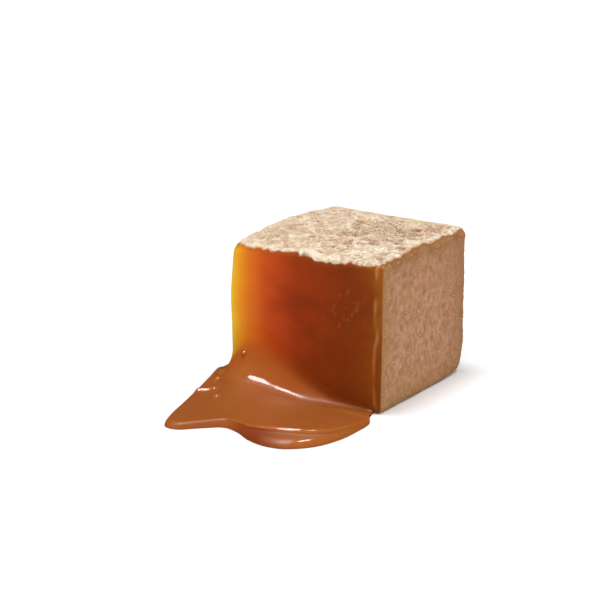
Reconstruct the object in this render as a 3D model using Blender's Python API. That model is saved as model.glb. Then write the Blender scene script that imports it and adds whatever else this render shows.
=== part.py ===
"""Caramel Turkish delight: a sugared cube with one cut side, and the soft caramel that runs from that side.

Sizes are in millimetres until a mesh is made, which is in metres. +Z is up. The origin is in the middle of the
cube's underside. The cut side faces -Y, and the caramel spreads from it towards -Y and -X.
"""

import math

import bmesh
import bpy
import numpy as np

METRES = 0.001

# The cube, measured over its sides before the sugar crust is added.
CUBE_WIDTH = 29.0
CUBE_DEPTH = 28.75
CUBE_HEIGHT = 24.7
HALF = np.array([CUBE_WIDTH, CUBE_DEPTH]) / 2

TOP_RADIUS = 0.9
FOOT_RADIUS = 0.8
SLUMPED_CORNER = np.array([-HALF[0], -HALF[1], CUBE_HEIGHT])
SLUMP_RADIUS = 1.3
SLUMP_REACH = 4.5
SOFT_CORNER = np.array([HALF[0], HALF[1], 0.0])
SOFT_RADIUS = 1.2
SOFT_REACH = 4.0

# How far each corner of the cube has been pushed out of square: (side of X, side of Y, side of Z) to a shift.
CORNER_SHIFTS = {
    (-1, -1, 1): (-0.4, 0.0, 0.0),
    (1, -1, 1): (0.6, 0.0, 0.35),
    (-1, 1, 1): (1.6, 1.2, 0.3),
    (1, 1, 1): (0.0, 0.2, 0.45),
    (-1, -1, -1): (0.15, 0.0, 0.0),
    (1, -1, -1): (0.4, 0.0, 0.0),
    (-1, 1, -1): (1.2, 0.1, 0.0),
    (1, 1, -1): (0.6, -0.9, 0.0),
}
CROWN_HEIGHT = 1.0
CROWN_CENTRE = np.array([-10.0, 2.0])
CROWN_REACH = 9.0
SIDE_BULGE = 0.12

# The sugar crust covers the top, to a ragged edge: a little way down two sides, and short of the right side and of
# the cut side by the insets.
CRUST_THICKNESS = 0.3
CRUST_DROP = 0.35
CRUST_RAGGED = 0.4
CRUST_RAGGED_PITCH = 2.1
CRUST_EDGE = 0.3
CRUST_INSETS = (0.75, 0.35)
WRINKLE_HEIGHT = 0.3
WRINKLE_ANGLE = math.radians(33)
WRINKLE_LENGTH = 3.6
WRINKLE_PITCH = 1.7
LUMP_HEIGHT = 0.2
LUMP_PITCH = 3.4
SIDE_WAVE = 0.1
SIDE_WAVE_PITCH = 5.0

# The mesh of the cube: squares across the top, close rows down to these depths over the crust's edge, and wider
# rows down the rest of the sides.
TOP_SQUARES = 40
CRUST_ROWS = (0.3, 0.65, 1.0, 1.4)
SIDE_ROWS = 10
EDGE_CROWDING = 1.15
FOOT_STEPS = (0.35, 0.7, 1.0)

# The caramel's wall follows the cube's cut side, turns its left corner and stops part way along its left side.
WALL_GAP = 0.5
WALL_START_X = 13.2
WALL_END_Y = -10.2
WALL_CORNER_RADIUS = 1.8

# The rim, where the caramel meets the surface that it lies on, from the cube's right corner round to its left side.
RIM = [
    (14.1, -16.6),
    (15.7, -19.1),
    (15.9, -23.1),
    (15.6, -27.7),
    (14.0, -32.4),
    (10.8, -35.7),
    (7.4, -36.5),
    (3.8, -35.7),
    (0.4, -33.8),
    (-2.8, -33.1),
    (-5.7, -35.3),
    (-8.4, -37.8),
    (-11.0, -37.7),
    (-12.6, -34.5),
    (-14.0, -29.9),
    (-15.5, -25.1),
    (-16.8, -20.6),
    (-17.8, -16.5),
    (-18.2, -12.9),
    (-16.2, -9.8),
]

# The caramel's section at stations along its wall, from 0 at its right end to 1 at its left end:
# how high it climbs the cube, the level of its lying part at the wall, half way out and at the lip,
# how far the foot's curve runs out, how wide the rounded lip is, and how much of a ledge the lip has.
STATIONS = {
    "at": (0.00, 0.04, 0.12, 0.18, 0.25, 0.30, 0.36, 0.42, 0.50, 0.60, 0.70, 0.78, 0.84, 0.89, 0.94, 1.00),
    "climb": (0.5, 1.1, 1.8, 2.3, 3.0, 4.4, 6.4, 7.9, 9.5, 11.3, 12.2, 10.6, 7.8, 6.0, 4.6, 0.9),
    "foot": (0.3, 0.4, 0.3, 0.2, 0.1, 0.0, -0.1, 0.2, 1.3, 3.1, 5.2, 5.6, 4.7, 3.6, 3.2, 0.5),
    "body": (0.3, 0.7, 1.1, 1.4, 1.6, 1.6, 1.6, 1.5, 1.5, 1.6, 1.8, 2.2, 2.4, 2.7, 2.9, 0.4),
    "lip": (0.25, 0.8, 1.5, 1.9, 2.3, 2.4, 2.2, 1.7, 1.3, 1.1, 1.1, 1.1, 1.3, 1.7, 2.2, 0.3),
    "foot_run": (0.6, 0.9, 1.2, 1.6, 2.2, 2.8, 3.4, 3.9, 4.4, 4.8, 4.8, 4.0, 2.6, 1.6, 1.0, 0.6),
    "lip_width": (0.4, 0.9, 1.1, 1.5, 2.7, 3.6, 2.3, 1.2, 1.6, 2.4, 2.6, 2.6, 2.4, 2.0, 1.4, 0.4),
    "ledge": (0.0, 0.0, 0.3, 0.8, 1.0, 1.0, 1.0, 0.6, 0.0, 0.0, 0.0, 0.0, 0.0, 0.0, 0.0, 0.0),
}
SHEET_EDGE = 0.25

# The lip's section, as shares of its width and height: a plain round lip, and one with a second fold under the first.
LIP_STEPS = 9
FOLDED_LIP = [
    (0.00, 1.00),
    (0.13, 0.97),
    (0.21, 0.87),
    (0.20, 0.75),
    (0.18, 0.68),
    (0.42, 0.63),
    (0.70, 0.53),
    (0.92, 0.34),
    (1.00, 0.16),
    (0.95, 0.00),
]

CARAMEL_SECTIONS = 56
CLIMB_STEPS = 8
BODY_STEPS = 8

LATTICE = 32


def ease(t):
    """A smooth step from 0 to 1 as t goes from 0 to 1."""
    t = np.clip(t, 0.0, 1.0)
    return t * t * (3.0 - 2.0 * t)


def value_noise(x, y, seed):
    """Smooth noise from -1 to 1, with about one bump to each unit of x and y."""
    lattice = np.random.default_rng(seed).uniform(-1.0, 1.0, (LATTICE, LATTICE))
    column, row = np.floor(x).astype(int), np.floor(y).astype(int)
    across, along = ease(x - column), ease(y - row)
    near = lattice[column % LATTICE, row % LATTICE] * (1 - across)
    near += lattice[(column + 1) % LATTICE, row % LATTICE] * across
    far = lattice[column % LATTICE, (row + 1) % LATTICE] * (1 - across)
    far += lattice[(column + 1) % LATTICE, (row + 1) % LATTICE] * across
    return near * (1 - along) + far * along


def spread(t):
    """Steps from -1 to 1 that crowd towards both ends, where the cube's edges are rounded."""
    return np.sin(EDGE_CROWDING * t) / math.sin(EDGE_CROWDING)


def edge_radius(points):
    """The radius of the cube's rounding at each point: larger at two corners, which have gone soft."""
    height = points[:, 2] / CUBE_HEIGHT
    from_slumped = np.linalg.norm(points - SLUMPED_CORNER, axis=1)
    slumped = SLUMP_RADIUS * np.exp(-((from_slumped / SLUMP_REACH) ** 2))
    from_soft = np.linalg.norm(points - SOFT_CORNER, axis=1)
    soft = SOFT_RADIUS * np.exp(-((from_soft / SOFT_REACH) ** 2))
    return FOOT_RADIUS + (TOP_RADIUS - FOOT_RADIUS) * ease(height) + slumped + soft


def rounded(points):
    """Points of a sharp box moved onto the rounded one, and the way that its surface faces at each."""
    radius = edge_radius(points)[:, None]
    inner = np.empty_like(points)
    inner[:, :2] = np.clip(points[:, :2], radius - HALF, HALF - radius)
    inner[:, 2:] = np.clip(points[:, 2:], radius, CUBE_HEIGHT - radius)
    facing = points - inner
    facing /= np.linalg.norm(facing, axis=1)[:, None]
    return inner + radius * facing, facing


def pushed_out_of_square(points):
    """Each corner's shift, shared out over the whole cube."""
    share = {
        -1: 0.5 - np.c_[points[:, :2] / (2 * HALF), points[:, 2] / CUBE_HEIGHT - 0.5],
        1: 0.5 + np.c_[points[:, :2] / (2 * HALF), points[:, 2] / CUBE_HEIGHT - 0.5],
    }
    moved = points.copy()
    for (x, y, z), shift in CORNER_SHIFTS.items():
        weight = share[x][:, 0] * share[y][:, 1] * share[z][:, 2]
        moved += weight[:, None] * np.array(shift)
    return moved


def top_relief(x, y):
    """The wrinkles and lumps of the crust on top, as a height."""
    along = x * math.cos(WRINKLE_ANGLE) + y * math.sin(WRINKLE_ANGLE)
    across = y * math.cos(WRINKLE_ANGLE) - x * math.sin(WRINKLE_ANGLE)
    wrinkles = value_noise(along / WRINKLE_LENGTH, across / WRINKLE_PITCH, seed=3)
    lumps = value_noise(x / LUMP_PITCH, y / LUMP_PITCH, seed=5)
    return WRINKLE_HEIGHT * wrinkles + LUMP_HEIGHT * lumps


def crust_cover(points):
    """1 where the crust lies and 0 below its ragged edge."""
    x, y, z = points.T
    ragged = CRUST_RAGGED * value_noise(x / CRUST_RAGGED_PITCH, y / CRUST_RAGGED_PITCH, seed=11)
    over_sides = z - (CUBE_HEIGHT - CRUST_DROP) + ragged
    over_right = HALF[0] - x - CRUST_INSETS[0] + ragged
    over_front = HALF[1] + y - CRUST_INSETS[1] + ragged
    above_edge = np.minimum(over_sides, np.minimum(over_right, over_front))
    return ease(above_edge / CRUST_EDGE + 0.5)


def cube_surface(points):
    """The cube's surface, in millimetres, from points of a sharp box of its size."""
    base, facing = rounded(points)
    upward = np.clip(facing[:, 2], 0.0, 1.0)
    sideways = 1.0 - np.abs(facing[:, 2])
    x, y, z = base.T
    height = z / CUBE_HEIGHT
    from_crown = np.linalg.norm(base[:, :2] - CROWN_CENTRE, axis=1) / CROWN_REACH
    crown = CROWN_HEIGHT * np.exp(-(from_crown**2))
    bulge = SIDE_BULGE * 4 * height * (1 - height)
    wave = SIDE_WAVE * value_noise((x + y) / SIDE_WAVE_PITCH, z / SIDE_WAVE_PITCH, seed=17)
    lift = CRUST_THICKNESS * crust_cover(base)
    lift += upward * top_relief(x, y) + sideways * (bulge + wave)
    moved = pushed_out_of_square(base) + facing * lift[:, None]
    moved[:, 2] += crown * ease(height * 4 - 3)
    return moved


def box_mesh():
    """A sharp box as a mesh: a grid on top, rows down the sides, and one flat face below."""
    mesh = bmesh.new()
    bmesh.ops.create_grid(mesh, x_segments=TOP_SQUARES, y_segments=TOP_SQUARES, size=1.0)
    for vertex in mesh.verts:
        x, y = spread(np.array(vertex.co.xy)) * HALF
        vertex.co = (x, y, CUBE_HEIGHT)

    below_crust = CUBE_HEIGHT - CRUST_ROWS[-1]
    rings = [(CUBE_HEIGHT - depth, 0.0) for depth in CRUST_ROWS]
    for row in range(1, SIDE_ROWS + 1):
        rings.append((below_crust * (1 + spread(1 - 2 * row / SIDE_ROWS)) / 2, 0.0))
    rings += [(0.0, FOOT_RADIUS * share) for share in FOOT_STEPS]
    reached = 0.0
    for height, inset in rings:
        rim = [edge for edge in mesh.edges if edge.is_boundary]
        made = bmesh.ops.extrude_edge_only(mesh, edges=rim)["geom"]
        for vertex in (item for item in made if isinstance(item, bmesh.types.BMVert)):
            x, y = np.array(vertex.co.xy) * (HALF - inset) / (HALF - reached)
            vertex.co = (x, y, height)
        reached = inset
    bmesh.ops.holes_fill(mesh, edges=[edge for edge in mesh.edges if edge.is_boundary])
    bmesh.ops.recalc_face_normals(mesh, faces=mesh.faces)
    return mesh


def along_line(points, shares):
    """Points at these shares of the way along a line through points, by its length."""
    points = np.array(points, float)
    reached = np.r_[0, np.cumsum(np.linalg.norm(np.diff(points, axis=0), axis=1))]
    reached /= reached[-1]
    return np.column_stack([np.interp(shares, reached, axis) for axis in points.T])


def smooth_line(points, steps=12):
    """A Catmull-Rom curve through points, as a finer line."""
    points = np.array(points, float)
    ends = np.vstack([2 * points[0] - points[1], points, 2 * points[-1] - points[-2]])
    line = []
    for before, start, end, after in zip(ends, ends[1:], ends[2:], ends[3:]):
        for t in np.arange(steps) / steps:
            line.append(
                0.5
                * (
                    2 * start
                    + (end - before) * t
                    + (2 * before - 5 * start + 4 * end - after) * t**2
                    + (3 * start - before - 3 * end + after) * t**3
                )
            )
    return np.array(line + [points[-1]])


def wall_line():
    """The caramel's wall in plan: along the cut side, round the left corner and along the left side."""
    front, left = -HALF[1] - WALL_GAP, -HALF[0] - WALL_GAP
    centre = np.array([left, front]) + WALL_CORNER_RADIUS
    turn = np.radians(np.linspace(270, 180, 9))
    corner = centre + WALL_CORNER_RADIUS * np.column_stack([np.cos(turn), np.sin(turn)])
    return np.vstack([(WALL_START_X, front), corner, (left, WALL_END_Y)])


def lip_section(ledge):
    """The lip, as shares of its width and height: round where ledge is 0 and folded where it is 1."""
    angle = np.linspace(math.pi / 2, 0, LIP_STEPS + 1)
    plain = np.column_stack([np.cos(angle) ** (2 / 3), np.sin(angle)])
    return plain + ledge * (np.array(FOLDED_LIP) - plain)


def caramel_section(reach, climb, foot, body, lip, foot_run, lip_width, ledge):
    """One upright section of the caramel, reach long, as (distance from the wall, height) round its outline."""
    foot_end = min(foot_run, 0.45 * reach)
    lip_start = reach - min(lip_width, 0.45 * reach)
    rise = max(climb - foot, 0.1)

    def lying(distance):
        out = np.clip(distance / lip_start, 0, 1)
        pull = 2 * body - (foot + lip) / 2
        return (1 - out) ** 2 * foot + 2 * out * (1 - out) * pull + out**2 * lip

    down = np.linspace(0, 1, CLIMB_STEPS + 1)
    near = SHEET_EDGE + (foot_end - SHEET_EDGE) * down**3
    far = np.linspace(foot_end, lip_start, BODY_STEPS + 1)[1:]
    upper = np.column_stack([near, lying(near) + rise * (1 - down**1.5) ** 2])
    rim = lip_section(ledge)[1:] * (reach - lip_start, lip) + (lip_start, 0)
    wall = [(0.0, 0.0), (0.0, upper[0, 1])]
    return np.vstack([upper, np.column_stack([far, lying(far)]), rim, wall])


def caramel_mesh():
    """The caramel, lofted through its sections."""
    shares = np.linspace(0, 1, CARAMEL_SECTIONS)
    wall = along_line(wall_line(), shares)
    rim = along_line(smooth_line(RIM), shares)
    names = [name for name in STATIONS if name != "at"]
    station = smooth_line(np.column_stack([STATIONS["at"]] + [STATIONS[name] for name in names]))
    sizes = {name: np.interp(shares, station[:, 0], station[:, i + 1]) for i, name in enumerate(names)}

    mesh = bmesh.new()
    loops = []
    for i in range(CARAMEL_SECTIONS):
        outward = rim[i] - wall[i]
        reach = np.linalg.norm(outward)
        section = caramel_section(reach, **{name: sizes[name][i] for name in names})
        plan = wall[i] + np.outer(section[:, 0] / reach, outward)
        loops.append([mesh.verts.new((x, y, z)) for (x, y), z in zip(plan, section[:, 1])])
    for loop in loops:
        for start, end in zip(loop, loop[1:] + loop[:1]):
            mesh.edges.new((start, end))
    bmesh.ops.bridge_loops(mesh, edges=list(mesh.edges))
    for loop in (loops[0], loops[-1]):
        mesh.faces.new(loop)
    bmesh.ops.recalc_face_normals(mesh, faces=mesh.faces)
    return mesh


def material(name, colour, roughness, see_in):
    made = bpy.data.materials.new(name)
    made.use_nodes = True
    shader = made.node_tree.nodes["Principled BSDF"]
    shader.inputs["Base Color"].default_value = (*colour, 1.0)
    shader.inputs["Roughness"].default_value = roughness
    shader.inputs["Metallic"].default_value = 0.0
    shader.inputs["Subsurface Weight"].default_value = see_in
    shader.inputs["Subsurface Scale"].default_value = 0.002
    return made


def add_object(name, mesh, made_of):
    """One solid, from a mesh in millimetres."""
    bmesh.ops.scale(mesh, vec=(METRES,) * 3, verts=mesh.verts)
    data = bpy.data.meshes.new(name)
    mesh.to_mesh(data)
    mesh.free()
    data.materials.append(made_of)
    data.shade_smooth()
    data.set_sharp_from_angle(angle=math.radians(50))
    made = bpy.data.objects.new(name, data)
    bpy.context.scene.collection.objects.link(made)
    return made


def make_cube():
    """The cube of jelly, with the crust's wrinkles and ragged edge as relief in one solid."""
    mesh = box_mesh()
    placed = cube_surface(np.array([vertex.co for vertex in mesh.verts]))
    placed[:, 2] = np.maximum(placed[:, 2], 0.0)
    for vertex, point in zip(mesh.verts, placed):
        vertex.co = point
    return add_object("delight_cube", mesh, material("sugared_jelly", (0.62, 0.33, 0.16), 0.6, 0.3))


def make_caramel():
    """The caramel that climbs the cut side and lies in a pool at its foot."""
    return add_object("caramel_pool", caramel_mesh(), material("soft_caramel", (0.42, 0.12, 0.02), 0.15, 0.2))


def main():
    for old in list(bpy.data.objects):
        bpy.data.objects.remove(old)
    make_cube()
    make_caramel()


main()
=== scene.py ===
"""The looks of the caramel Turkish delight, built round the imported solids.

The cube and the caramel are made again from the same sizes as the solids, with finer meshes and finer
relief, and loose grains of sugar are scattered on the cube. Sizes are in millimetres until a mesh is made,
which is in metres.
"""

import math

import bpy
import numpy as np
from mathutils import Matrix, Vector


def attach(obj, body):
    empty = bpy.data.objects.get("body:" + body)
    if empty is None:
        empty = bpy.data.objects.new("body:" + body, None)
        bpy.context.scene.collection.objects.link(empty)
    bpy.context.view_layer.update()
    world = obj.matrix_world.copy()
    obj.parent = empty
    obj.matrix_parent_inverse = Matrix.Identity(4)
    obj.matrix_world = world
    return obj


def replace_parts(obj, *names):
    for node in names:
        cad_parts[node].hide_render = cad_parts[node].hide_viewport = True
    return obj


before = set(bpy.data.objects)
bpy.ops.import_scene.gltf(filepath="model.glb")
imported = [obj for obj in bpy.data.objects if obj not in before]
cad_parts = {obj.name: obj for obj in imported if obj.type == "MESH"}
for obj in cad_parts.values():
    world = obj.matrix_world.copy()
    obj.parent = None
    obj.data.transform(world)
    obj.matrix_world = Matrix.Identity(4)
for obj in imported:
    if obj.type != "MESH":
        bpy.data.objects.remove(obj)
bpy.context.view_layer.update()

METRES = 0.001

# The cube, as in the solid.
CUBE_WIDTH = 29.0
CUBE_DEPTH = 28.75
CUBE_HEIGHT = 24.7
HALF = np.array([CUBE_WIDTH, CUBE_DEPTH]) / 2
TOP_RADIUS = 0.9
FOOT_RADIUS = 0.8
SLUMPED_CORNER = np.array([-HALF[0], -HALF[1], CUBE_HEIGHT])
SLUMP_RADIUS = 1.3
SLUMP_REACH = 4.5
SOFT_CORNER = np.array([HALF[0], HALF[1], 0.0])
SOFT_RADIUS = 1.2
SOFT_REACH = 4.0
CORNER_SHIFTS = {
    (-1, -1, 1): (-0.4, 0.0, 0.0),
    (1, -1, 1): (0.6, 0.0, 0.35),
    (-1, 1, 1): (1.6, 1.2, 0.3),
    (1, 1, 1): (0.0, 0.2, 0.45),
    (-1, -1, -1): (0.15, 0.0, 0.0),
    (1, -1, -1): (0.4, 0.0, 0.0),
    (-1, 1, -1): (1.2, 0.1, 0.0),
    (1, 1, -1): (0.6, -0.9, 0.0),
}
CROWN_HEIGHT = 1.0
CROWN_CENTRE = np.array([-10.0, 2.0])
CROWN_REACH = 9.0
CROWN_SHARES = (0.75, 1.0)
SIDE_BULGE = 0.12
CRUST_THICKNESS = 0.3
CRUST_DROP = 0.35
CRUST_RAGGED = 0.4
CRUST_RAGGED_PITCH = 2.1
CRUST_EDGE = 0.3
WRINKLE_HEIGHT = 0.3
WRINKLE_ANGLE = math.radians(33)
WRINKLE_LENGTH = 3.6
WRINKLE_PITCH = 1.7
LUMP_HEIGHT = 0.2
LUMP_PITCH = 3.4
SIDE_WAVE = 0.1
SIDE_WAVE_PITCH = 5.0
LATTICE = 32

# Finer relief than the solid's in the crust: ridges, each by its pitch and height, and crumbs. A crumb
# reaches the first share of their pitch, and up to the second share more. Both are about a middle height.
RIDGES = ((2.3, 0.17), (1.2, 0.24), (0.65, 0.15))
RIDGE_SHARPNESS = 4.0
RIDGE_WANDER = 0.45
RIDGE_MIDDLE = 0.35
CRUMB_PITCH = 0.4
CRUMB_REACHES = (0.6, 0.5)
CRUMB_HEIGHT = 0.05
CRUMB_MIDDLE = 0.6

# The crust is calmer this near to the back and left edges, where it keeps these shares of its crumbs and
# wrinkles. Its crumbs are lower at the left front corner too: the share that they keep, how much Y counts
# beside X in how far across the top a place is, and from where to where they rise to their full height.
CALM_EDGE = 5.0
CALM_CRUMBS = 0.15
CALM_WRINKLES = 0.35
QUIET_CRUMBS = 0.5
QUIET_SLANT = 0.5
QUIET_ENDS = (-4.0, 3.0)

# The crust's lower edge. It stops short of the right and front edges by the insets, but hangs over the
# front edge from one X to another, and left of the corner's X. On part of that edge a fringe hangs lower:
# by how much, and from where to where each of its ends comes in. The crust wraps further down the left and
# back sides than the solid's: by how much, and from this far inside a side to its face.
CRUST_INSETS = (0.75, 0.35)
CRUST_HANGS = (-1.0, 12.6)
CRUST_HANG_ENDS = 1.2
CRUST_HANG = 0.9
CRUST_CORNER = -12.6
CRUST_FRINGE = 0.6
CRUST_FRINGE_FROM = (-0.4, 3.0)
CRUST_FRINGE_TO = (9.2, 7.6)
CRUST_WRAP = 0.9
CRUST_WRAP_ENDS = (-1.0, 0.0)
RAGGED_FINE = 0.25
RAGGED_FINE_PITCH = 0.7
CRUST_ON_SIDES = 0.3

# How much painted shade the crust has in its hollows, which sets its colour, with the pinker tone of the
# thinner
# sugar there: a middle value, and how much crumbs and wrinkles change it. It is frosted pale near its front
# and
# right edges: less towards the right, and more on the fringe.
HOLLOW_MIDDLE = 0.44
HOLLOW_BY_CRUMBS = 4.5
HOLLOW_BY_WRINKLES = 0.15
FROST = 0.3
FROSTED_EDGE = 2.6
FROST_FADE = 0.4
FROST_FADE_ENDS = (4.0, 9.0)
FRINGE_FROST = 0.4

# How far the painted shadow under the crust's edge, amber where the jelly shows through, and the ochre tint
# along the cube's edges, reach.
SHADOW_UNDER_CRUST = 0.6
TINTED_EDGE = 2.0

# Finer relief on the sides: ripples in the cut side, and dust elsewhere, but not where the surface faces
# further down than this.
DUST_LEAST_FACING = -0.5
DUST_STRETCH = 1.6
DUST_HEIGHT = 0.05
DUST_PITCH = 0.38
DUST_LUMP_HEIGHT = 0.08
DUST_LUMP_PITCH = 1.3
RIPPLE_HEIGHT = 0.04
RIPPLE_PITCH = 2.8
RIPPLE_STRETCH = 1.6

# The smooth cut side: how much the surface faces the front where the jelly begins to show and where it
# shows in full. The same, as how far behind the front it is, round the left edge and in a strip along the
# upper edge, with how deep the strip is and how far from the right end it stops.
CUT_FACING = (0.45, 0.59)
CUT_LEFT_EDGE = (2.4, 0.8)
CUT_UPPER_EDGE = (1.1, 0.8)
CUT_UPPER_DEPTH = 1.2
CUT_UPPER_END = 0.9

# The cut side keeps a wavy bead along its right edge, in patches, where the knife has dragged the jelly.
# The bead is painted paler, a painted highlight along it. The jelly outside it is darker low down.
BEAD_X = 13.6
BEAD_WIDTH = 0.28
BEAD_HEIGHT = 0.2
BEAD_WAVE = 0.38
BEAD_WAVE_PITCH = 2.6
BEAD_PATCH_PITCH = 1.8
BEAD_STRENGTH = (0.6, 0.9)
BEAD_LEAST = 0.1
OUTSIDE_BEAD = (13.8, 14.1)
OUTSIDE_BEAD_HEIGHTS = (20.0, 6.0)

# The cube's fine mesh.
TOP_SQUARES = 200
FINE_EDGE_CROWDING = 0.9
CRUST_ROW_DEPTH = 1.8
CRUST_ROWS = 14
SIDE_ROWS = 48
FOOT_STEPS = (0.2, 0.4, 0.6, 0.8, 1.0)
UNDERSIDE_STEPS = (0.8, 0.6, 0.4, 0.2)

# The caramel, as in the solid. Its wall here reaches a little way into the cube, and its folded lip is a
# little rounder, which shapes the highlight on it.
WALL_START_X = 13.2
WALL_END_Y = -10.2
WALL_DEPTH = 0.2
RIM = [
    (14.1, -16.6),
    (15.7, -19.1),
    (15.9, -23.1),
    (15.6, -27.7),
    (14.0, -32.4),
    (10.8, -35.7),
    (7.4, -36.5),
    (3.8, -35.7),
    (0.4, -33.8),
    (-2.8, -33.1),
    (-5.7, -35.3),
    (-8.4, -37.8),
    (-11.0, -37.7),
    (-12.6, -34.5),
    (-14.0, -29.9),
    (-15.5, -25.1),
    (-16.8, -20.6),
    (-17.8, -16.5),
    (-18.2, -12.9),
    (-16.2, -9.8),
]
STATIONS = {
    "at": (0.00, 0.04, 0.12, 0.18, 0.25, 0.30, 0.36, 0.42, 0.50, 0.60, 0.70, 0.78, 0.84, 0.89, 0.94, 1.00),
    "climb": (0.5, 1.1, 1.8, 2.3, 3.0, 4.4, 6.4, 7.9, 9.5, 11.3, 12.2, 10.6, 7.8, 6.0, 4.6, 0.9),
    "foot": (0.3, 0.4, 0.3, 0.2, 0.1, 0.0, -0.1, 0.2, 1.3, 3.1, 5.2, 5.6, 4.7, 3.6, 3.2, 0.5),
    "body": (0.3, 0.7, 1.1, 1.4, 1.6, 1.6, 1.6, 1.5, 1.5, 1.6, 1.8, 2.2, 2.4, 2.7, 2.9, 0.4),
    "lip": (0.25, 0.8, 1.5, 1.9, 2.3, 2.4, 2.2, 1.7, 1.3, 1.1, 1.1, 1.1, 1.3, 1.7, 2.2, 0.3),
    "foot_run": (0.6, 0.9, 1.2, 1.6, 2.2, 2.8, 3.4, 3.9, 4.4, 4.8, 4.8, 4.0, 2.6, 1.6, 1.0, 0.6),
    "lip_width": (0.4, 0.9, 1.1, 1.5, 2.7, 3.6, 2.3, 1.2, 1.6, 2.4, 2.6, 2.6, 2.4, 2.0, 1.4, 0.4),
    "ledge": (0.0, 0.0, 0.3, 0.8, 1.0, 1.0, 1.0, 0.6, 0.0, 0.0, 0.0, 0.0, 0.0, 0.0, 0.0, 0.0),
}
SHEET_EDGE = -0.03
MOST_OF_REACH = 0.45
LEAST_RISE = 0.1
FOLDED_LIP = [
    (0.00, 1.00),
    (0.07, 0.98),
    (0.16, 0.90),
    (0.23, 0.81),
    (0.28, 0.72),
    (0.43, 0.64),
    (0.70, 0.53),
    (0.92, 0.34),
    (1.00, 0.16),
    (0.95, 0.00),
]
FOLDED_LIP_STEPS = 4
CARAMEL_SECTIONS = 340
CLIMB_STEPS = 64
BODY_STEPS = 52
CLEAR_FILM = 0.9

# The caramel is wet on its slopes and satin where it lies level: how much its surface faces up where the
# satin begins and where it is full. It is satin too at its right end and on one part of its lower lip, to
# these shares: from where to where along the wall that begins and is full.
SATIN_FACING = (0.86, 0.97)
SATIN_END = (0.44, 0.36)
SATIN_END_SHARE = 0.8
SATIN_LIP = (0.262, 0.282)
SATIN_LIP_SHARE = 0.7

# Parts of the caramel's section. Under the fold and in its groove they are counted in points from the lip's
# start. Near the wall and on the sheet they are shares of the climb: where each begins, and where it is full.
UNDER_FOLD = (10, 34)
GROOVE = (13, 22)
NEAR_WALL = (1 / 2.6, 2 / 2.6)
ON_SHEET = (1.0, 0.375)

# Lumps in the caramel: the ends of each in plan, how high it rises and how far it spreads to each side.
# They come in from one height above the ground to another, and the lump on the sheet does so higher up.
LUMPS = [
    ((-15.6, -15.9), (-15.6, -15.9), 0.5, 0.7),
    ((-14.9, -18.2), (-14.9, -18.2), 0.55, 0.65),
    ((-15.2, -23.0), (-12.9, -21.7), 0.45, 0.5),
    ((-10.2, -24.8), (-10.2, -24.8), 0.5, 0.6),
    ((9.0, -17.9), (13.8, -18.3), 0.25, 0.8),
]
LUMPS_COME_IN = (0.0, 0.8)
SHEET_LUMP = np.array([-11.1, 6.3])
SHEET_LUMP_HEIGHT = 0.75
SHEET_LUMP_WIDTH = 0.42
SHEET_LUMP_COMES_IN = (3.0, 5.0)

# Under the fold the caramel is painted darker red, a painted shadow: from where to where along the wall.
FOLD_SHADOW_SHARES = (0.28, 0.36)

# The jelly is faintly creased round one spot of the cut side, and painted paler along its creases: partly the
# film's own tone and partly a painted sheen. The crust is dull round another, with dark specks that reach a
# little further.
CREASED_SPOT = (8.0, -14.4, 17.0)
CREASED_REACH = 6.0
DULL_SPOT = (5.0, 4.5, 25.0)
DULL_REACH = 10.0
SPECKS_REACH = 14.0

# Loose sugar: how many grains lie on the top and on each sugared side, and their sizes. A grain's corners
# are moved in and out by these factors, and it stands out of the surface by a share of its size. It lies
# where the cut's mask is below this, and the crust's is this near to 1 on the crust, or to 0 off it.
TOP_GRAINS = 3000
TOP_GRAIN_SIZES = (0.06, 0.17)
SIDE_GRAINS = 2600
SIDE_GRAIN_SIZES = (0.05, 0.15)
GRAIN_FACTORS = (0.7, 1.3)
GRAIN_LIFT = 0.1
GRAIN_MOST_CUT = 0.1
GRAIN_NEAR_CRUST = 0.05

# The plain ground, a little below the part's underside.
FLOOR_HALF = 6000.0
FLOOR_Z = -0.02

# The photo's view: the camera's place, and the direction from what it looks at back to it.
CAMERA_PLACE = (157.82, -255.66, 100.51)
CAMERA_BACK = (0.52712, -0.80303, 0.27802)
CAMERA_LENS = 110
CAMERA_SENSOR = 36


def ease(t):
    """A smooth step from 0 to 1 as t goes from 0 to 1."""
    t = np.clip(t, 0.0, 1.0)
    return t * t * (3.0 - 2.0 * t)


def eased_between(value, ends):
    """A smooth step from 0 to 1 as value goes from the first of ends to the second."""
    return ease((value - ends[0]) / (ends[1] - ends[0]))


def value_noise(x, y, seed):
    """Smooth noise from -1 to 1, with about one bump to each unit of x and y."""
    lattice = np.random.default_rng(seed).uniform(-1.0, 1.0, (LATTICE, LATTICE))
    column, row = np.floor(x).astype(int), np.floor(y).astype(int)
    across, along = ease(x - column), ease(y - row)
    near = lattice[column % LATTICE, row % LATTICE] * (1 - across)
    near += lattice[(column + 1) % LATTICE, row % LATTICE] * across
    far = lattice[column % LATTICE, (row + 1) % LATTICE] * (1 - across)
    far += lattice[(column + 1) % LATTICE, (row + 1) % LATTICE] * across
    return near * (1 - along) + far * along


def spread(t, crowding):
    """Steps from -1 to 1 that crowd towards both ends, where the cube's edges are rounded."""
    return np.sin(crowding * t) / math.sin(crowding)


def edge_radius(points):
    """The radius of the cube's rounding at each point: softer at the foot and at the slumped corner."""
    height = points[:, 2] / CUBE_HEIGHT
    from_corner = np.linalg.norm(points - SLUMPED_CORNER, axis=1)
    slump = SLUMP_RADIUS * np.exp(-((from_corner / SLUMP_REACH) ** 2))
    from_soft = np.linalg.norm(points - SOFT_CORNER, axis=1)
    soft = SOFT_RADIUS * np.exp(-((from_soft / SOFT_REACH) ** 2))
    return FOOT_RADIUS + (TOP_RADIUS - FOOT_RADIUS) * ease(height) + slump + soft


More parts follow.
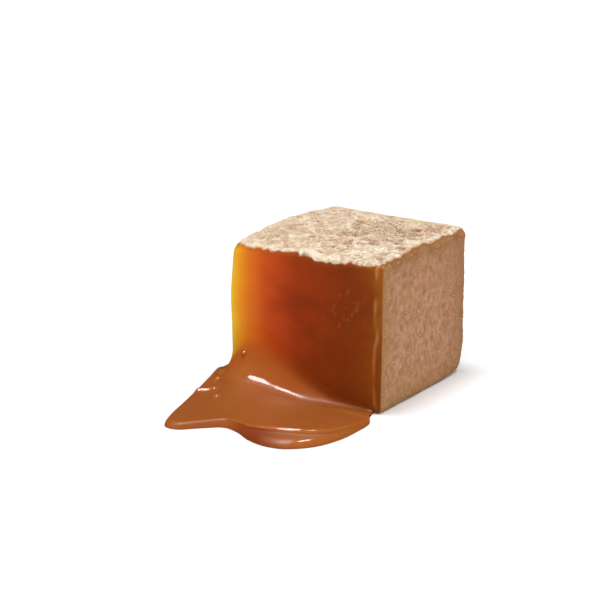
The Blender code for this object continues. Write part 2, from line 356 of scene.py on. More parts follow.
def rounded(points):
    """Points of a sharp box moved onto the rounded one, and the way that its surface faces at each."""
    radius = edge_radius(points)[:, None]
    inner = np.empty_like(points)
    inner[:, :2] = np.clip(points[:, :2], radius - HALF, HALF - radius)
    inner[:, 2:] = np.clip(points[:, 2:], radius, CUBE_HEIGHT - radius)
    facing = points - inner
    facing /= np.linalg.norm(facing, axis=1)[:, None]
    return inner + radius * facing, facing


def pushed_out_of_square(points):
    """Each corner's shift, shared out over the whole cube."""
    share = {
        -1: 0.5 - np.c_[points[:, :2] / (2 * HALF), points[:, 2] / CUBE_HEIGHT - 0.5],
        1: 0.5 + np.c_[points[:, :2] / (2 * HALF), points[:, 2] / CUBE_HEIGHT - 0.5],
    }
    moved = points.copy()
    for (x, y, z), shift in CORNER_SHIFTS.items():
        weight = share[x][:, 0] * share[y][:, 1] * share[z][:, 2]
        moved += weight[:, None] * np.array(shift)
    return moved


def crumb_noise(x, y, seed):
    """Rounded crumbs packed side by side, about one to each unit of x and y, as heights from 0 to 1."""
    crumb = np.random.default_rng(seed).uniform(0.0, 1.0, (LATTICE, LATTICE, 3))
    column, row = np.floor(x).astype(int), np.floor(y).astype(int)
    nearest = np.ones(len(x))
    for i in (-1, 0, 1):
        for j in (-1, 0, 1):
            across, along, size = crumb[(column + i) % LATTICE, (row + j) % LATTICE].T
            away = np.hypot(column + i + across - x, row + j + along - y)
            nearest = np.minimum(nearest, away / (CRUMB_REACHES[0] + CRUMB_REACHES[1] * size))
    return 1 - nearest**2


def calmed(x, y, least):
    """How much of its relief the crust keeps: least at the back and left edges, and all of it further in."""
    return least + (1 - least) * ease(np.minimum(HALF[0] + x, HALF[1] - y) / CALM_EDGE)


def top_relief(x, y):
    """The wrinkles and lumps of the crust on top, as a height."""
    along = x * math.cos(WRINKLE_ANGLE) + y * math.sin(WRINKLE_ANGLE)
    across = y * math.cos(WRINKLE_ANGLE) - x * math.sin(WRINKLE_ANGLE)
    wrinkles = value_noise(along / WRINKLE_LENGTH, across / WRINKLE_PITCH, seed=3)
    lumps = value_noise(x / LUMP_PITCH, y / LUMP_PITCH, seed=5)
    return (WRINKLE_HEIGHT * wrinkles + LUMP_HEIGHT * lumps) * calmed(x, y, CALM_WRINKLES)


def quieted(x, y):
    """How much of their height the crust's crumbs keep: less towards the left front corner."""
    return QUIET_CRUMBS + (1 - QUIET_CRUMBS) * eased_between(x + QUIET_SLANT * y, QUIET_ENDS)


def crumb_relief(x, y):
    """The crust's ridges and crumbs, as a height about a middle of 0."""
    relief = CRUMB_HEIGHT * (crumb_noise(x / CRUMB_PITCH, y / CRUMB_PITCH, seed=29) - CRUMB_MIDDLE)
    for seed, (pitch, height) in enumerate(RIDGES, start=31):
        wander = RIDGE_WANDER * value_noise(x / pitch, y / pitch, seed + 40)
        slope = value_noise(x / pitch + wander, y / pitch - wander, seed)
        relief += height * (np.exp(-RIDGE_SHARPNESS * np.abs(slope)) - RIDGE_MIDDLE)
    return relief * calmed(x, y, CALM_CRUMBS) * quieted(x, y)


def fringe(x):
    """1 where the crust hangs lowest, along a stretch of the cut side's upper edge, and 0 elsewhere."""
    return eased_between(x, CRUST_FRINGE_FROM) * eased_between(x, CRUST_FRINGE_TO)


def crust_edge(points):
    """How far each point is above the crust's ragged lower edge."""
    x, y = points[:, 0], points[:, 1]
    drop = CRUST_DROP + CRUST_RAGGED * value_noise(x / CRUST_RAGGED_PITCH, y / CRUST_RAGGED_PITCH, seed=11)
    drop += RAGGED_FINE * value_noise(x / RAGGED_FINE_PITCH, y / RAGGED_FINE_PITCH, seed=13)
    wrapped = CRUST_WRAP * eased_between(np.maximum(-x - HALF[0], y - HALF[1]), CRUST_WRAP_ENDS)
    wrapped += CRUST_FRINGE * fringe(x) * eased_between(-y - HALF[1], CRUST_WRAP_ENDS)
    over_sides = points[:, 2] - (CUBE_HEIGHT - drop - wrapped)
    over_right = HALF[0] - x - CRUST_INSETS[0] + drop - CRUST_DROP
    hanging = ease((x - CRUST_HANGS[0]) / CRUST_HANG_ENDS) * ease((CRUST_HANGS[1] - x) / CRUST_HANG_ENDS)
    hanging = np.maximum(hanging, ease((CRUST_CORNER - x) / CRUST_HANG_ENDS))
    over_front = HALF[1] + y - CRUST_INSETS[1] + drop - CRUST_DROP + CRUST_HANG * hanging
    return np.minimum(over_sides, np.minimum(over_right, over_front))


def cut_cover(points, facing):
    """1 on the smooth cut side, which turns a little way round its edges, and 0 on the sugared sides."""
    front = eased_between(-facing[:, 1], CUT_FACING)
    behind = HALF[1] + points[:, 1]
    upper_edge = eased_between(behind, CUT_UPPER_EDGE) * (points[:, 2] > CUBE_HEIGHT - CUT_UPPER_DEPTH)
    upper_edge *= points[:, 0] < HALF[0] - CUT_UPPER_END
    left_edge = eased_between(behind, CUT_LEFT_EDGE) * (points[:, 0] < 0)
    return np.maximum(front, np.maximum(upper_edge, left_edge))


def from_nearest_edge(points):
    """How far each point of the surface is from the nearest edge of the cube."""
    x, y, z = points.T
    return np.sort([HALF[0] - np.abs(x), HALF[1] - np.abs(y), np.minimum(z, CUBE_HEIGHT - z)], axis=0)[1]


def dust_relief(along, z):
    """The dusting's fine relief about a middle of 0, by how far along a side and how high up it is."""
    fine = value_noise(along / (DUST_STRETCH * DUST_PITCH), z / DUST_PITCH, seed=41)
    lumps = value_noise(along / (DUST_STRETCH * DUST_LUMP_PITCH), z / DUST_LUMP_PITCH, seed=43)
    return DUST_HEIGHT * fine + DUST_LUMP_HEIGHT * lumps


def bead_profile(x, z):
    """The bead along the cut side's right edge, from 0 to 1."""
    patches = value_noise(z / BEAD_PATCH_PITCH, np.zeros_like(z), seed=53)
    strength = np.clip(BEAD_STRENGTH[0] + BEAD_STRENGTH[1] * patches, BEAD_LEAST, 1.0)
    middle = BEAD_X + BEAD_WAVE * value_noise(z / BEAD_WAVE_PITCH, np.ones_like(z), seed=59)
    return strength * np.exp(-(((x - middle) / BEAD_WIDTH) ** 2))


def frosting(x, y):
    """How frosted the crust is, from 0 to a little over 1."""
    near_edge = ease(1 - np.minimum(HALF[0] - x, HALF[1] + y) / FROSTED_EDGE)
    return near_edge * (1 - FROST_FADE * eased_between(x, FROST_FADE_ENDS) + FRINGE_FROST * fringe(x))


def cube_surface(points):
    """The cube's surface from points of a sharp box of its size, the way it faces, and its masks."""
    base, facing = rounded(points)
    upward = np.clip(facing[:, 2], 0.0, 1.0)
    sideways = 1.0 - np.abs(facing[:, 2])
    x, y, z = base.T
    height = z / CUBE_HEIGHT
    above_edge = crust_edge(base)
    crust = ease(above_edge / CRUST_EDGE + 0.5)
    cut = cut_cover(base, facing) * (1 - crust)
    dusted = (1 - crust) * (1 - cut) * (facing[:, 2] > DUST_LEAST_FACING)

    from_crown = np.linalg.norm(base[:, :2] - CROWN_CENTRE, axis=1) / CROWN_REACH
    crown = CROWN_HEIGHT * np.exp(-(from_crown**2))
    bulge = SIDE_BULGE * 4 * height * (1 - height)
    wave = SIDE_WAVE * value_noise((x + y) / SIDE_WAVE_PITCH, z / SIDE_WAVE_PITCH, seed=17)
    ripple = RIPPLE_HEIGHT * value_noise(x / RIPPLE_PITCH, z / (RIPPLE_STRETCH * RIPPLE_PITCH), seed=47)
    bead = cut * bead_profile(x, z)

    crumbs, wrinkles = crumb_relief(x, y), top_relief(x, y)
    lift = crust * (CRUST_THICKNESS + crumbs) * (CRUST_ON_SIDES + (1 - CRUST_ON_SIDES) * upward)
    lift += upward * wrinkles + sideways * (bulge + wave)
    lift += dusted * dust_relief(x + y, z) + cut * ripple + BEAD_HEIGHT * bead
    moved = pushed_out_of_square(base) + facing * lift[:, None]
    moved[:, 2] += crown * eased_between(height, CROWN_SHARES)
    moved[:, 2] = np.maximum(moved[:, 2], 0.0)
    # Painted shade in the crust's hollows, between its crumbs and wrinkles, and less where it is frosted.
    hollow_shade = HOLLOW_MIDDLE - HOLLOW_BY_CRUMBS * crumbs - HOLLOW_BY_WRINKLES * wrinkles
    hollow_shade -= FROST * frosting(x, y)
    masks = {
        "crust": crust,
        "cut": cut,
        "hollow_shade": np.clip(hollow_shade, 0.0, 1.0),
        # Painted shadow just under the crust's edge, amber where the jelly shows through.
        "under": (1 - crust) * np.exp(-((above_edge / SHADOW_UNDER_CRUST) ** 2)),
        "rim": np.exp(-from_nearest_edge(base) / TINTED_EDGE),
        "bead": bead,
    }
    return moved, facing, masks


def box_points_and_faces():
    """A sharp box as points and faces: a grid on top, rows down the sides and rings across the underside."""
    n = TOP_SQUARES
    steps = spread(np.linspace(-1, 1, n + 1), FINE_EDGE_CROWDING)
    x, y = np.meshgrid(steps * HALF[0], steps * HALF[1], indexing="ij")
    top = np.column_stack([x.ravel(), y.ravel(), np.full(x.size, CUBE_HEIGHT)])
    index = np.arange((n + 1) ** 2).reshape(n + 1, n + 1)
    cells = [index[:-1, :-1], index[1:, :-1], index[1:, 1:], index[:-1, 1:]]
    faces = [np.stack(cells, axis=-1).reshape(-1, 4)]

    rim = np.concatenate([index[:-1, 0], index[-1, :-1], index[:0:-1, -1], index[0, :0:-1]])
    below_crust = CUBE_HEIGHT - CRUST_ROW_DEPTH
    rings = [(CUBE_HEIGHT - CRUST_ROW_DEPTH * row / CRUST_ROWS, 0.0) for row in range(1, CRUST_ROWS + 1)]
    rings += [(below_crust * (1 - row / SIDE_ROWS), 0.0) for row in range(1, SIDE_ROWS + 1)]
    rings += [(0.0, FOOT_RADIUS * share) for share in FOOT_STEPS]
    rings += [(0.0, HALF * (1 - share)) for share in UNDERSIDE_STEPS]
    points = [top]
    for height, inset in rings:
        plan = top[rim][:, :2] * (HALF - inset) / HALF
        points.append(np.column_stack([plan, np.full(len(rim), height)]))
    count = len(top)
    above = rim
    for _ in rings:
        below = count + np.arange(len(rim))
        count += len(rim)
        faces.append(np.column_stack([above, below, np.roll(below, -1), np.roll(above, -1)]))
        above = below
    points.append([[0.0, 0.0, 0.0]])
    fan = np.column_stack([above, np.full(len(rim), count), np.roll(above, -1)])
    return np.vstack(points), [*np.vstack(faces).tolist(), *fan.tolist()]


def add_mask(data, name, values):
    """One value for each point of a mesh, which its material reads by this name."""
    attribute = data.attributes.new(name, "FLOAT", "POINT")
    attribute.data.foreach_set("value", np.asarray(values, np.float32))


def add_piece(name, points, faces, made_of, masks=None):
    """One smooth mesh in metres from points in millimetres, with its masks as attributes."""
    data = bpy.data.meshes.new(name)
    data.from_pydata((np.asarray(points) * METRES).tolist(), [], faces)
    for mask, values in (masks or {}).items():
        add_mask(data, mask, values)
    data.materials.append(made_of)
    data.shade_smooth()
    data.update()
    piece = bpy.data.objects.new(name, data)
    bpy.context.scene.collection.objects.link(piece)
    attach(piece, "root")
    return piece


def make_cube(made_of):
    """The cube of jelly, with its crust and dusting."""
    box, faces = box_points_and_faces()
    points, _, masks = cube_surface(box)
    return add_piece("jelly_cube", points, faces, made_of, masks)


def along_line(points, shares):
    """Points at these shares of the way along a line through points, by its length."""
    points = np.array(points, float)
    reached = np.r_[0, np.cumsum(np.linalg.norm(np.diff(points, axis=0), axis=1))]
    reached /= reached[-1]
    return np.column_stack([np.interp(shares, reached, axis) for axis in points.T])


def smooth_line(points, steps=12):
    """A Catmull-Rom curve through points, as a finer line."""
    points = np.array(points, float)
    ends = np.vstack([2 * points[0] - points[1], points, 2 * points[-1] - points[-2]])
    line = []
    for before, start, end, after in zip(ends, ends[1:], ends[2:], ends[3:]):
        for t in np.arange(steps) / steps:
            line.append(
                0.5
                * (
                    2 * start
                    + (end - before) * t
                    + (2 * before - 5 * start + 4 * end - after) * t**2
                    + (3 * start - before - 3 * end + after) * t**3
                )
            )
    return np.array(line + [points[-1]])


def wall_on_cube(share, heights):
    """Where the caramel's wall meets the cube's surface, share of the way along, in plan, at each height."""
    front = WALL_START_X + HALF[0]
    side = WALL_END_Y + HALF[1]
    reached = share * (front + side)
    if reached <= front:
        x, y = WALL_START_X - reached, -HALF[1]
    else:
        x, y = -HALF[0], -HALF[1] + reached - front
    heights = np.clip(heights, FOOT_RADIUS, CUBE_HEIGHT)
    box = np.column_stack([np.full(len(heights), x), np.full(len(heights), y), heights])
    return cube_surface(box)[0][:, :2]


def lip_section(ledge):
    """The lip, as shares of its width and height: round where ledge is 0 and folded where it is 1."""
    folded = smooth_line(FOLDED_LIP, FOLDED_LIP_STEPS)
    angle = np.linspace(math.pi / 2, 0, len(folded))
    plain = np.column_stack([np.cos(angle) ** (2 / 3), np.sin(angle)])
    return plain + ledge * (folded - plain)


def caramel_section(reach, climb, foot, body, lip, foot_run, lip_width, ledge):
    """An upright section of the caramel, reach long: (distance from the wall, height) round its outline."""
    foot_end = min(foot_run, MOST_OF_REACH * reach)
    lip_start = reach - min(lip_width, MOST_OF_REACH * reach)
    rise = max(climb - foot, LEAST_RISE)

    def lying(distance):
        out = np.clip(distance / lip_start, 0, 1)
        pull = 2 * body - (foot + lip) / 2
        return (1 - out) ** 2 * foot + 2 * out * (1 - out) * pull + out**2 * lip

    down = np.linspace(0, 1, CLIMB_STEPS + 1)
    near = SHEET_EDGE + (foot_end - SHEET_EDGE) * down**3
    far = np.linspace(foot_end, lip_start, BODY_STEPS + 1)[1:]
    upper = np.column_stack([near, lying(near) + rise * (1 - down**1.5) ** 2])
    rim = lip_section(ledge)[1:] * (reach - lip_start, lip) + (lip_start, 0)
    wall = [(-WALL_DEPTH, 0.0), (-WALL_DEPTH, upper[0, 1])]
    return np.vstack([upper, np.column_stack([far, lying(far)]), rim, wall])


def lumps_on_caramel(points):
    """The caramel's points with its lumps raised: upwards where they lie, and outwards on the sheet."""
    raised = points.copy()
    for start, end, height, width in LUMPS:
        start, along = np.array(start), np.subtract(end, start)
        share = (points[:, :2] - start) @ along / max(along @ along, 1e-9)
        away = np.linalg.norm(points[:, :2] - start - np.clip(share, 0, 1)[:, None] * along, axis=1)
        raised[:, 2] += height * np.exp(-((away / width) ** 2)) * eased_between(points[:, 2], LUMPS_COME_IN)
    away = np.linalg.norm(points[:, [0, 2]] - SHEET_LUMP, axis=1)
    on_sheet = eased_between(points[:, 2], SHEET_LUMP_COMES_IN)
    raised[:, 1] -= SHEET_LUMP_HEIGHT * np.exp(-((away / SHEET_LUMP_WIDTH) ** 2)) * on_sheet
    return raised


def section_masks(count):
    """Which of a section's points are under the fold, in its groove, near the wall and on the sheet."""
    order = np.arange(count)
    from_lip = order - CLIMB_STEPS - BODY_STEPS
    climbed = order / CLIMB_STEPS
    under_fold = (from_lip >= UNDER_FOLD[0]) & (from_lip < UNDER_FOLD[1])
    groove = (from_lip >= GROOVE[0]) & (from_lip < GROOVE[1])
    near_wall = eased_between(climbed, NEAR_WALL) * (order < CLIMB_STEPS + BODY_STEPS // 2)
    return under_fold, groove, near_wall, eased_between(climbed, ON_SHEET)


def make_caramel(made_of):
    """The caramel, as upright sections side by side, each from the cube to the rim."""
    shares = np.linspace(0, 1, CARAMEL_SECTIONS)
    rim = along_line(smooth_line(RIM), shares)
    names = [name for name in STATIONS if name != "at"]
    station = smooth_line(np.column_stack([STATIONS["at"]] + [STATIONS[name] for name in names]))
    sizes = {name: np.interp(shares, station[:, 0], station[:, i + 1]) for i, name in enumerate(names)}
    section_points = CLIMB_STEPS + BODY_STEPS + len(lip_section(1.0)) + 2
    under_fold, groove, near_wall, sheet = section_masks(section_points)
    sections, films, fold_shadows, satins = [], [], [], []
    for i, share in enumerate(shares):
        start = wall_on_cube(share, np.array([0.0]))[0]
        outward = rim[i] - start
        reach = np.linalg.norm(outward)
        section = caramel_section(reach, **{name: sizes[name][i] for name in names})
        plan = wall_on_cube(share, section[:, 1]) + np.outer(section[:, 0] / reach, outward)
        sections.append(np.column_stack([plan, section[:, 1]]))
        films.append(1 - ease(section[:, 0] / CLEAR_FILM))
        ledge = sizes["ledge"][i]
        fold_shadows.append(under_fold * ledge * eased_between(share, FOLD_SHADOW_SHARES))
        end = SATIN_END_SHARE * eased_between(share, SATIN_END) * near_wall
        lip = SATIN_LIP_SHARE * eased_between(share, SATIN_LIP) * under_fold
        satins.append(np.max([end, lip, groove * ledge], axis=0))
    count = len(sections[0])
    index = np.arange(CARAMEL_SECTIONS * count).reshape(CARAMEL_SECTIONS, count)
    after = np.roll(index, -1, axis=1)
    faces = np.stack([index[:-1], index[1:], after[1:], after[:-1]], axis=-1).reshape(-1, 4).tolist()
    faces += [index[0].tolist(), index[-1, ::-1].tolist()]
    masks = {"film": np.concatenate(films), "fold_shadow": np.concatenate(fold_shadows)}
    masks["sheet"] = np.tile(sheet, CARAMEL_SECTIONS)
    points = lumps_on_caramel(np.vstack(sections))
    piece = add_piece("caramel", points, faces, made_of, masks)
    upward = np.array([vertex.normal.z for vertex in piece.data.vertices])
    add_mask(piece.data, "satin", np.maximum(eased_between(upward, SATIN_FACING), np.concatenate(satins)))
    return piece


GRAIN_CORNERS = np.array([(x, y, z) for x in (-1, 1) for y in (-1, 1) for z in (-1, 1)]) / 2
GRAIN_FACES = np.array([(0, 1, 3, 2), (4, 6, 7, 5), (0, 4, 5, 1), (2, 3, 7, 6), (0, 2, 6, 4), (1, 5, 7, 3)])


def add_grains(name, spots, on_crust, sizes, made_of, seed):
    """Loose grains of sugar, small uneven crystals, at the spots of a sharp box on the crust or off it."""
    draw = np.random.default_rng(seed)
    centres, facing, masks = cube_surface(spots)
    sugared = (masks["cut"] < GRAIN_MOST_CUT) & (np.abs(masks["crust"] - on_crust) < GRAIN_NEAR_CRUST)
    centres, facing = centres[sugared], facing[sugared]
    count = len(centres)
    size = sizes[0] + (sizes[1] - sizes[0]) * draw.uniform(size=count) ** 2
    turns = np.linalg.qr(draw.normal(size=(count, 3, 3)))[0]
    crystals = GRAIN_CORNERS * draw.uniform(*GRAIN_FACTORS, (count, 8, 3)) * size[:, None, None]
    centres = centres + GRAIN_LIFT * size[:, None] * facing
    points = np.einsum("nij,nkj->nki", turns, crystals) + centres[:, None]
    points[..., 2] = np.maximum(points[..., 2], 0.0)
    faces = (np.arange(count)[:, None, None] * 8 + GRAIN_FACES).reshape(-1, 4).tolist()
    masks = {"tint": np.repeat(draw.uniform(size=count), 8)}
    piece = add_piece(name, points.reshape(-1, 3), faces, made_of, masks)
    piece.data.shade_flat()


def make_sugar():
    """The loose grains: cream ones on the crust, and tan ones on the three dusted sides."""
    draw = np.random.default_rng(61)
    x, y = HALF
    top = draw.uniform((-x, -y, CUBE_HEIGHT), (x, y, CUBE_HEIGHT), (TOP_GRAINS, 3))
    right = draw.uniform((x, -y, 0), (x, y, CUBE_HEIGHT), (SIDE_GRAINS, 3))
    left = draw.uniform((-x, -y + CUT_LEFT_EDGE[0], 0), (-x, y, CUBE_HEIGHT), (SIDE_GRAINS, 3))
    back = draw.uniform((-x, y, 0), (x, y, CUBE_HEIGHT), (SIDE_GRAINS, 3))
    cream = sugar_crystal("cream_sugar", colour(204, 170, 136), colour(250, 232, 204))
    tan = sugar_crystal("tan_sugar", colour(164, 116, 84), colour(206, 164, 128))
    add_grains("sugar_on_top", top, True, TOP_GRAIN_SIZES, cream, seed=67)
    add_grains("sugar_on_sides", np.vstack([right, left, back]), False, SIDE_GRAIN_SIZES, tan, seed=71)


def colour(red, green, blue):
    """A shader's colour from red, green and blue as a screen shows them, 0 to 255."""
    screen = np.array([red, green, blue]) / 255
    linear = np.where(screen <= 0.04045, screen / 12.92, ((screen + 0.055) / 1.055) ** 2.4)
    return (*linear, 1.0)


class Nodes:
    """The node tree of a new material, with short ways to add the nodes used here."""

    def __init__(self, name):
        self.material = bpy.data.materials.new(name)
        self.material.use_nodes = True
        self.tree = self.material.node_tree
        self.shader = self.tree.nodes["Principled BSDF"]

    def add(self, kind, settings=None, **links):
        """A node of this kind. Each of links is an input's name, with a socket to link or a value to set."""
        node = self.tree.nodes.new("ShaderNode" + kind)
        for key, value in (settings or {}).items():
            setattr(node, key, value)
        for key, value in links.items():
            self.set(node, key.replace("_", " "), value)
        return node

    def set(self, node, key, value):
        socket = node.inputs[int(key)] if key.isdigit() else node.inputs[key]
        if isinstance(value, bpy.types.NodeSocket):
            self.tree.links.new(value, socket)
        else:
            socket.default_value = value

    def maths(self, operation, first, second=0.0, clamp=False):
        node = self.add("Math", {"operation": operation, "use_clamp": clamp})
        self.set(node, "0", first)
        self.set(node, "1", second)
        return node.outputs[0]

    def scaled(self, value, factor, offset=0.0):
        """value times factor, plus offset."""
        node = self.add("Math", {"operation": "MULTIPLY_ADD"})
        for key, part in enumerate((value, factor, offset)):
            self.set(node, str(key), part)
        return node.outputs[0]

    def mix(self, share, first, second, blend="MIX"):
        node = self.add("Mix", {"data_type": "RGBA", "blend_type": blend})
        for socket, value in zip((node.inputs[0], node.inputs[6], node.inputs[7]), (share, first, second)):
            if isinstance(value, bpy.types.NodeSocket):
                self.tree.links.new(value, socket)
            else:
                socket.default_value = value
        return node.outputs[2]

    def mask(self, name):
        return self.add("Attribute", {"attribute_name": name}).outputs["Fac"]

    def place(self, stretch=(1.0, 1.0, 1.0)):
        """Where a point is on the object, in millimetres, times stretch."""
        spot = self.add("TexCoord").outputs["Object"]
        scale = tuple(factor / METRES for factor in stretch)
        return self.add("Mapping", Vector=spot, Scale=scale).outputs[0]

    def noise(self, pitch, detail=3.0, stretch=(1.0, 1.0, 1.0), roughness=0.5):
        """Noise from 0 to 1 with bumps about pitch millimetres apart."""
        node = self.add("TexNoise", Vector=self.place(stretch), Scale=1 / pitch, Detail=detail)
        node.inputs["Roughness"].default_value = roughness
        return node.outputs["Fac"]

    def step(self, value, low, high):
        """0 below low and 1 above high, with a smooth step between."""
        node = self.add("MapRange", {"interpolation_type": "SMOOTHSTEP"}, Value=value)
        node.inputs["From Min"].default_value = low
        node.inputs["From Max"].default_value = high
        return node.outputs[0]

    def near(self, spot, reach):
        """1 at a spot of the object and 0 from reach away, both in millimetres."""
        away = self.add("VectorMath", {"operation": "DISTANCE"}, **{"0": self.place(), "1": spot})
        return self.step(away.outputs["Value"], reach, 0.0)

    def ramp(self, value, stops):
        """A colour ramp through stops, each a position and a colour."""
        node = self.add("ValToRGB", Fac=value)
        stop_list = node.color_ramp.elements
        while len(stop_list) < len(stops):
            stop_list.new(0.5)
        for stop, (position, tint) in zip(stop_list, stops):
            stop.position, stop.color = position, tint
        return node.outputs[0]

    def bump(self, height, distance, strength=1.0, under=None):
        node = self.add("Bump", Height=height, Distance=distance * METRES, Strength=strength)
        if under is not None:
            self.set(node, "Normal", under)
        return node.outputs[0]


# The jelly at the cut is clouded from the first X on, and fully from the second, and browner from the first
# height down to the second. The dust is painted darker towards the back, as painted shade, from the first Y
# to the second.
CLOUDED_JELLY = (-10.0, -3.0)
BROWNER_JELLY = (12.0, 3.0)
DUST_SHADE_YS = (3.0, 14.0)

# The jelly's colour at the cut, with painted light shining through from its left edge, by how far to the
# right it is, and the width that this ramp spans.
JELLY_SPAN = 30.0
LIT_JELLY_STOPS = [
    (-14.4, (226, 186, 38)),
    (-12.6, (222, 144, 26)),
    (-10.9, (212, 112, 22)),
    (-7.6, (194, 76, 20)),
    (-4.4, (174, 62, 16)),
    (-1.0, (150, 52, 6)),
    (8.0, (124, 48, 6)),
    (11.4, (127, 55, 7)),
    (13.0, (134, 64, 8)),
    (14.4, (144, 78, 15)),
]


def jelly_colour(nodes):
    """The jelly as it shows at the cut, with painted light through its left edge, and deeper and darker
    inwards.
    """
    axes = nodes.add("SeparateXYZ", Vector=nodes.place())
    wander = nodes.scaled(nodes.noise(5.0), 1.0, -0.5)
    across = nodes.maths("ADD", axes.outputs["X"], wander)
    stops = [(x / JELLY_SPAN + 0.5, colour(*tint)) for x, tint in LIT_JELLY_STOPS]
    shade = nodes.ramp(nodes.scaled(across, 1 / JELLY_SPAN, 0.5), stops)
    clouds = nodes.step(nodes.noise(6.0, stretch=(1.0, 1.0, 1.5)), 0.4, 0.7)
    clouds = nodes.maths("MULTIPLY", clouds, nodes.step(axes.outputs["X"], *CLOUDED_JELLY))
    shade = nodes.mix(nodes.scaled(clouds, 0.4), shade, colour(108, 38, 4))
    low = nodes.step(axes.outputs["Z"], *BROWNER_JELLY)
    shade = nodes.mix(nodes.scaled(low, 0.4), shade, colour(122, 56, 19))
    # Painted shadow under the crust's edge.
    shade = nodes.mix(nodes.scaled(nodes.mask("under"), 0.6), shade, colour(146, 74, 22))
    # Paler creases: partly the film's own tone, partly a painted sheen.
    creases = nodes.step(nodes.noise(1.1, detail=3.0, stretch=(1.0, 1.0, 0.7)), 0.52, 0.72)
    creases = nodes.maths("MULTIPLY", creases, nodes.near(CREASED_SPOT, CREASED_REACH))
    shade = nodes.mix(nodes.scaled(creases, 0.32), shade, colour(186, 104, 58))
    beyond_bead = nodes.step(axes.outputs["X"], *OUTSIDE_BEAD)
    low_down = nodes.step(axes.outputs["Z"], *OUTSIDE_BEAD_HEIGHTS)
    outside_bead = nodes.maths("MULTIPLY", beyond_bead, low_down)
    shade = nodes.mix(nodes.scaled(outside_bead, 0.7), shade, colour(112, 50, 2))
    # The bead is painted paler: a painted highlight along it.
    return nodes.mix(nodes.scaled(nodes.mask("bead"), 0.6), shade, colour(190, 122, 64))


def sugared_jelly():
    """The cube's material: a cream crust, tan dusting, and the smooth jelly of the cut side."""
    nodes = Nodes("sugared_jelly")
    crust, cut, hollow_shade = nodes.mask("crust"), nodes.mask("cut"), nodes.mask("hollow_shade")

    blotches = nodes.noise(1.1, detail=4.0, roughness=0.65)
    dust = nodes.ramp(
        blotches,
        [(0.3, colour(148, 100, 66)), (0.5, colour(174, 126, 94)), (0.7, colour(196, 150, 120))],
    )
    ochre = nodes.step(nodes.noise(5.0, detail=1.0), 0.45, 0.7)
    dust = nodes.mix(nodes.scaled(ochre, 0.35), dust, colour(172, 130, 84))
    dust = nodes.mix(nodes.scaled(nodes.mask("rim"), 0.9), dust, colour(152, 110, 56))
    axes = nodes.add("SeparateXYZ", Vector=nodes.place())
    back = nodes.step(axes.outputs["Y"], *DUST_SHADE_YS)
    # Painted shade: the dust is darker towards the back.
    dust = nodes.mix(nodes.scaled(back, 0.5), dust, colour(146, 102, 66))
    # Painted shadow under the crust's edge, amber where the jelly shows through the dust.
    dust = nodes.mix(nodes.mask("under"), dust, colour(140, 84, 36))
    side = nodes.mix(cut, dust, jelly_colour(nodes))

    # The crust's cream, painted darker in its hollows as painted shade, with a pinker tone of thinner sugar
    # there.
    cream = nodes.ramp(
        hollow_shade,
        [
            (0.0, colour(242, 234, 212)),
            (0.3, colour(232, 214, 184)),
            (0.55, colour(200, 174, 148)),
            (0.9, colour(146, 112, 90)),
        ],
    )
    away = nodes.maths("ABSOLUTE", nodes.scaled(nodes.noise(0.75, detail=2.0), 1.0, -0.5))
    cream = nodes.mix(nodes.scaled(nodes.step(away, 0.0, 0.06), 0.45), cream, colour(196, 166, 140))
    rosy = nodes.step(nodes.noise(2.4, detail=3.0), 0.45, 0.7)
    dull = nodes.scaled(nodes.near(DULL_SPOT, DULL_REACH), 0.6, nodes.scaled(rosy, 0.25))
    cream = nodes.mix(dull, cream, colour(178, 146, 116))
    specks = nodes.step(nodes.noise(0.5, detail=1.0), 0.55, 0.66)
    specks = nodes.maths("MULTIPLY", specks, nodes.near(DULL_SPOT, SPECKS_REACH))
    cream = nodes.mix(nodes.scaled(specks, 0.85), cream, colour(128, 96, 72))
    spots = nodes.step(nodes.noise(1.6, detail=2.0), 0.68, 0.76)
    cream = nodes.mix(nodes.scaled(spots, 0.6), cream, colour(142, 92, 66))
    nodes.set(nodes.shader, "Base Color", nodes.mix(crust, side, cream))

    nodes.set(nodes.shader, "Roughness", nodes.scaled(cut, -0.56, 0.8))
    nodes.set(nodes.shader, "IOR", 1.35)
    nodes.set(nodes.shader, "Subsurface Weight", nodes.scaled(cut, 0.15, 0.1))
    nodes.set(nodes.shader, "Subsurface Radius", (1.0, 0.45, 0.15))
    nodes.set(nodes.shader, "Subsurface Scale", 1.6 * METRES)
    grit = nodes.bump(nodes.noise(0.28, detail=3.0), 0.04, strength=0.6)
    folds = nodes.maths("MULTIPLY", away, nodes.scaled(crust, -1.0))
    nodes.set(nodes.shader, "Normal", nodes.bump(folds, 1.2, strength=0.6, under=grit))
    return nodes.material


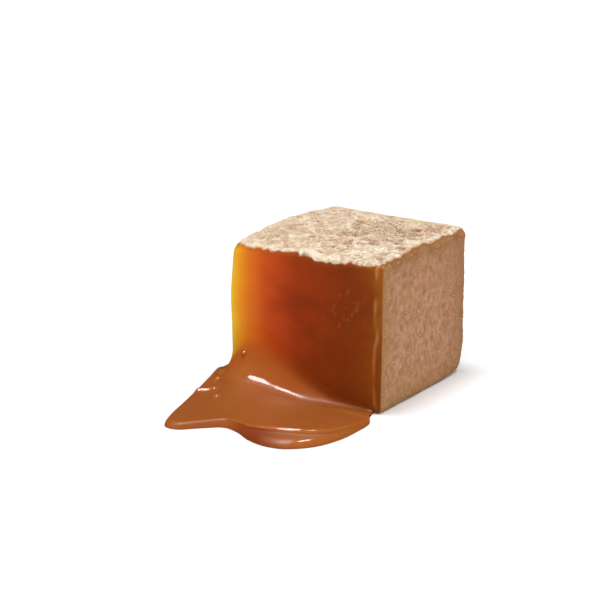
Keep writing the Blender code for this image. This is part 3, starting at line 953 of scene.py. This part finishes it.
def soft_caramel():
    """The caramel's material: wet on its slopes, satin where it lies level, and clear beside the cube."""
    nodes = Nodes("soft_caramel")
    streaks = nodes.noise(3.0, stretch=(1.0, 0.45, 1.0))
    body = nodes.ramp(streaks, [(0.35, colour(154, 83, 34)), (0.65, colour(164, 94, 40))])
    # Where it is satin the caramel is painted darker: painted shade that offsets the paler sheen of its
    # rougher gloss.
    body = nodes.mix(nodes.scaled(nodes.mask("satin"), 0.8), body, colour(145, 75, 14))
    body = nodes.mix(nodes.mask("sheet"), body, colour(172, 84, 30))
    # Painted shadow under the fold.
    body = nodes.mix(nodes.scaled(nodes.mask("fold_shadow"), 0.75), body, colour(120, 30, 8))
    nodes.set(nodes.shader, "Base Color", nodes.mix(nodes.mask("film"), body, jelly_colour(nodes)))
    nodes.set(nodes.shader, "Roughness", nodes.scaled(nodes.mask("satin"), 0.36, 0.13))
    nodes.set(nodes.shader, "IOR", 1.5)
    nodes.set(nodes.shader, "Subsurface Weight", 0.3)
    nodes.set(nodes.shader, "Subsurface Radius", (1.0, 0.4, 0.12))
    nodes.set(nodes.shader, "Subsurface Scale", 1.2 * METRES)
    return nodes.material


def sugar_crystal(name, darkest, palest):
    """The grains' material, which gives each one a colour between darkest and palest."""
    nodes = Nodes(name)
    nodes.set(nodes.shader, "Base Color", nodes.ramp(nodes.mask("tint"), [(0.0, darkest), (1.0, palest)]))
    nodes.set(nodes.shader, "Roughness", 0.45)
    nodes.set(nodes.shader, "Subsurface Weight", 0.3)
    nodes.set(nodes.shader, "Subsurface Radius", (1.0, 0.8, 0.6))
    nodes.set(nodes.shader, "Subsurface Scale", 0.3 * METRES)
    return nodes.material


def make_floor():
    """The plain pale ground, which is there only for the picture."""
    corners = [(x * FLOOR_HALF, y * FLOOR_HALF, FLOOR_Z) for x, y in ((-1, -1), (1, -1), (1, 1), (-1, 1))]
    data = bpy.data.meshes.new("floor")
    data.from_pydata((np.array(corners) * METRES).tolist(), [], [(0, 1, 2, 3)])
    nodes = Nodes("pale_floor")
    nodes.set(nodes.shader, "Base Color", colour(243, 243, 243))
    nodes.set(nodes.shader, "Roughness", 0.9)
    data.materials.append(nodes.material)
    floor = bpy.data.objects.new("floor", data)
    bpy.context.scene.collection.objects.link(floor)
    floor.visible_glossy = False


def soft_light(name, direction, width, brightness, shows_in_gloss=False):
    """Soft light from a far patch of sky in that direction, width degrees wide."""
    lamp = bpy.data.lights.new(name, "SUN")
    lamp.angle = math.radians(width)
    lamp.energy = brightness
    light = bpy.data.objects.new(name, lamp)
    bpy.context.scene.collection.objects.link(light)
    light.rotation_euler = Vector(direction).to_track_quat("Z", "Y").to_euler()
    light.visible_glossy = shows_in_gloss


def make_lights():
    """Soft lights from overhead, the right and the front, as in the photo."""
    soft_light("key_light", (-0.15, -0.05, 0.98), 17, 1.4, shows_in_gloss=True)
    soft_light("glint_light", (0.23, 0.12, 0.97), 12, 0.8, shows_in_gloss=True)
    soft_light("right_fill", (0.80, -0.55, 0.35), 90, 1.3)
    soft_light("front_fill", (-0.25, -0.95, 0.45), 90, 1.0)
    world = bpy.data.worlds.new("studio")
    bpy.context.scene.world = world
    world.use_nodes = True
    world.node_tree.nodes["Background"].inputs["Color"].default_value = (0.35, 0.35, 0.35, 1)
    world.cycles_visibility.glossy = False


def make_camera():
    """The camera of the photo's view."""
    lens = bpy.data.cameras.new("camera")
    lens.lens = CAMERA_LENS
    lens.sensor_width = CAMERA_SENSOR
    lens.clip_start = 0.01
    camera = bpy.data.objects.new("camera", lens)
    bpy.context.scene.collection.objects.link(camera)
    camera.location = Vector(CAMERA_PLACE) * METRES
    camera.rotation_euler = Vector(CAMERA_BACK).to_track_quat("Z", "Y").to_euler()
    bpy.context.scene.camera = camera


make_camera()
make_lights()
make_floor()
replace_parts(make_cube(sugared_jelly()), "delight_cube")
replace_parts(make_caramel(soft_caramel()), "caramel_pool")
make_sugar()
bpy.context.scene.view_settings.view_transform = "Standard"
